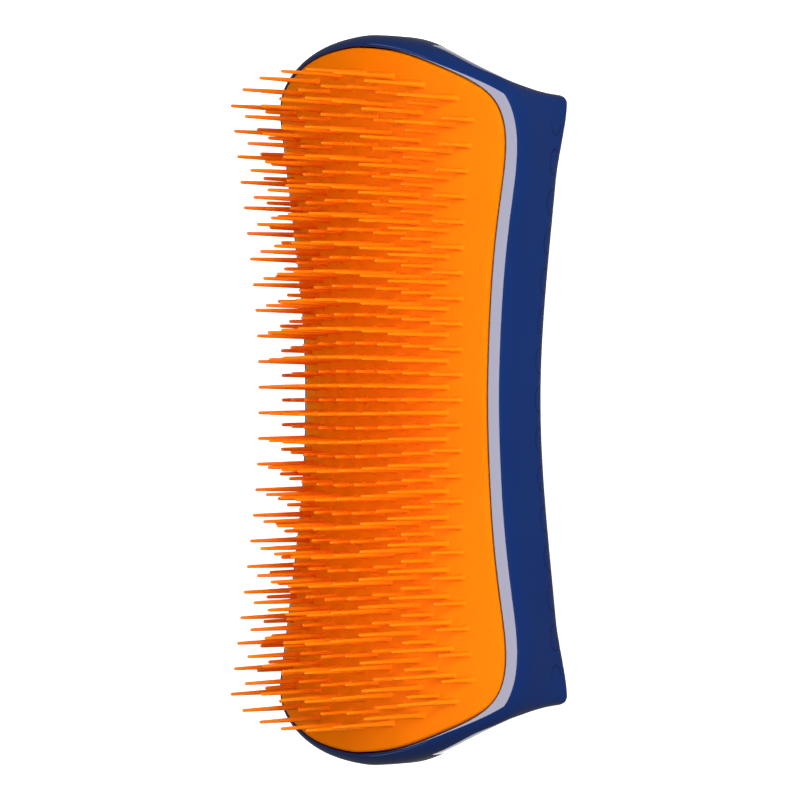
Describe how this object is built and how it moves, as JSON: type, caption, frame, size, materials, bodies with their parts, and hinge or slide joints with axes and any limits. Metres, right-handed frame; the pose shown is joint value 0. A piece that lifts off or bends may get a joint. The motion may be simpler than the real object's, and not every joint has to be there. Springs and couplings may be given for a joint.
{
  "type": "deshedding tool",
  "caption": "Palm-held pet deshedding tool: waisted hollow housing carrying a domed flexible pad with staggered long and short tapered teeth.",
  "frame": {"origin": "middle of the tool in plan, at the height of the flat lands on the back's two ends, on which it lies", "axes": "X along the length, Y across the width, +Z from the back to the tooth tips"},
  "size_m": [0.1766, 0.081, 0.0595],
  "materials": {
    "housing": "gloss",
    "pad": "satin",
    "long_teeth": "satin",
    "short_teeth": "satin"
  },
  "bodies": {
    "tool": {"housing_shell": "housing", "tooth_pad": "pad", "long_teeth": "long_teeth", "short_teeth": "short_teeth"}
  },
  "joints": []
}
